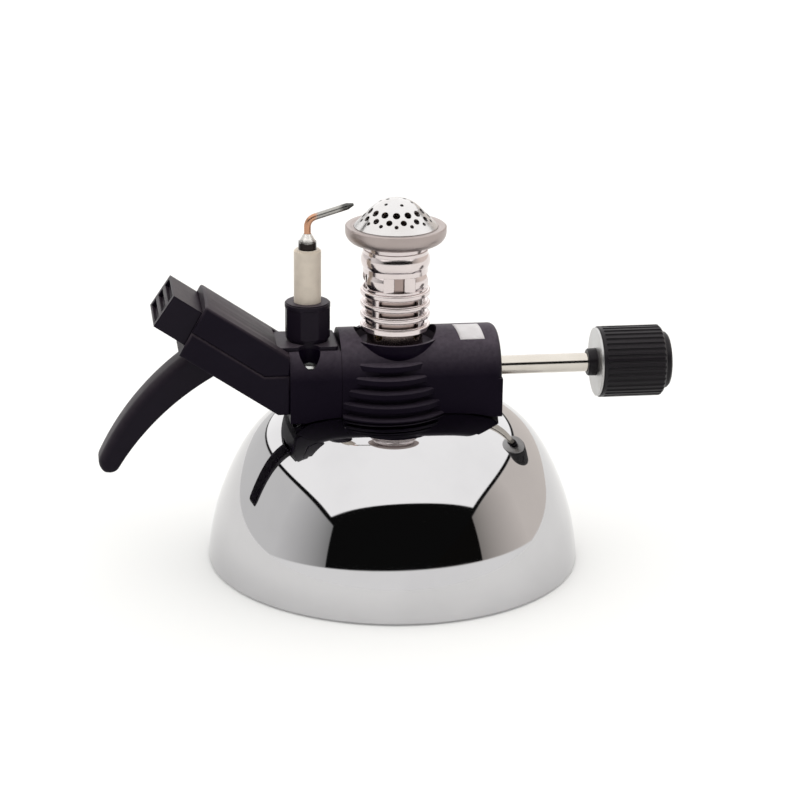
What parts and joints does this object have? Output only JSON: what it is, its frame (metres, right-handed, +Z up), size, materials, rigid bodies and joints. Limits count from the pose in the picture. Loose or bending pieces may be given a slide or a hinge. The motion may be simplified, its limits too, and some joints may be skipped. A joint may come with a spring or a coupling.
{
  "type": "bunsen_burner",
  "caption": "Self-contained laboratory gas burner: chrome dome base with fuel tank, black valve body, slotted steel sleeve and flame cap, side knob, piezo trigger and electrode",
  "frame": {"origin": "centre of the foot ring's underside, on the table", "axes": "+Z up along the burner tube, +X along the valve spindle towards the knob, -X towards the trigger, +Y away from the side with the block's screw"},
  "size_m": [0.1457, 0.0948, 0.0945],
  "materials": {
    "chrome_plate": "bright chrome plating on pressed steel",
    "black_paint": "matt black paint on steel",
    "rubber_foot": "moulded rubber",
    "zinc_steel": "zinc-plated steel",
    "tank_steel": "bare sheet steel",
    "brass": "turned brass",
    "seal_rubber": "nitrile rubber",
    "black_plastic": "moulded plastic, half gloss",
    "cream_plastic": "moulded plastic",
    "lead_sheath": "silicone sheath",
    "bright_steel": "turned stainless steel",
    "knob_rubber": "soft coated plastic, matt",
    "satin_steel": "satin nickel plating",
    "polished_steel": "polished stainless steel",
    "white_ceramic": "unglazed ceramic",
    "wire_metal": "heat-coloured nickel wire"
  },
  "bodies": {
    "stand": {"base_shell": "chrome_plate", "base_plate": "black_paint", "foot_ring": "rubber_foot", "base_screws": "zinc_steel", "tank_lower": "tank_steel", "tank_upper": "tank_steel", "filler_body": "brass", "filler_seal": "seal_rubber", "body_housing": "black_plastic", "body_screws": "zinc_steel", "igniter_block": "black_plastic", "block_screw": "zinc_steel", "arm_upper": "black_plastic", "arm_lower": "black_plastic", "arm_screws": "zinc_steel", "piezo_cell": "cream_plastic", "pivot_pin": "zinc_steel", "igniter_lead": "lead_sheath", "valve_block": "brass", "gland_nut": "brass", "spindle_seal": "seal_rubber", "gas_jet": "brass", "mixing_tube": "bright_steel", "burner_sleeve": "satin_steel", "burner_head": "satin_steel", "flame_cap": "polished_steel", "electrode_holder": "black_plastic", "insulator": "white_ceramic", "ferrule": "bright_steel", "electrode_wire": "wire_metal"},
    "knob": {"spindle": "bright_steel", "knob": "knob_rubber", "knob_cap": "knob_rubber", "knob_plate": "bright_steel"},
    "needle": {"needle": "bright_steel"},
    "trigger": {"trigger_lever": "black_plastic"},
    "button": {"push_button": "black_plastic", "cross_pin": "zinc_steel"},
    "filler": {"filler_stem": "brass"}
  },
  "joints": [
    {"name": "knob_turn", "type": "hinge", "parent": "stand", "child": "knob", "pos_m": [0, 0, 0.05], "axis": [1, 0, 0], "range_deg": [0, 540]},
    {"name": "needle_slide", "type": "slide", "parent": "stand", "child": "needle", "axis": [1, 0, 0], "range_m": [0, 0.00105]},
    {"name": "trigger_hinge", "type": "hinge", "parent": "stand", "child": "trigger", "pos_m": [-0.04456, 0, 0.06317], "axis": [0, -1, 0], "range_deg": [0, 25.4], "stiffness_Nm_per_rad": 0.04, "springref_deg": -5.73},
    {"name": "button_slide", "type": "slide", "parent": "stand", "child": "button", "axis": [0.829, 0, -0.5592], "range_m": [0, 0.0028]},
    {"name": "filler_slide", "type": "slide", "parent": "stand", "child": "filler", "axis": [0, 0, 1], "range_m": [0, 0.0012], "stiffness_N_per_m": 100, "springref_m": -0.0003}
  ],
  "couplings": [
    {"joint": "needle_slide", "follows": "knob_turn", "m_per_rad": 0.00011141},
    {"joint": "button_slide", "follows": "trigger_hinge", "m_per_rad": 0.0063037}
  ]
}
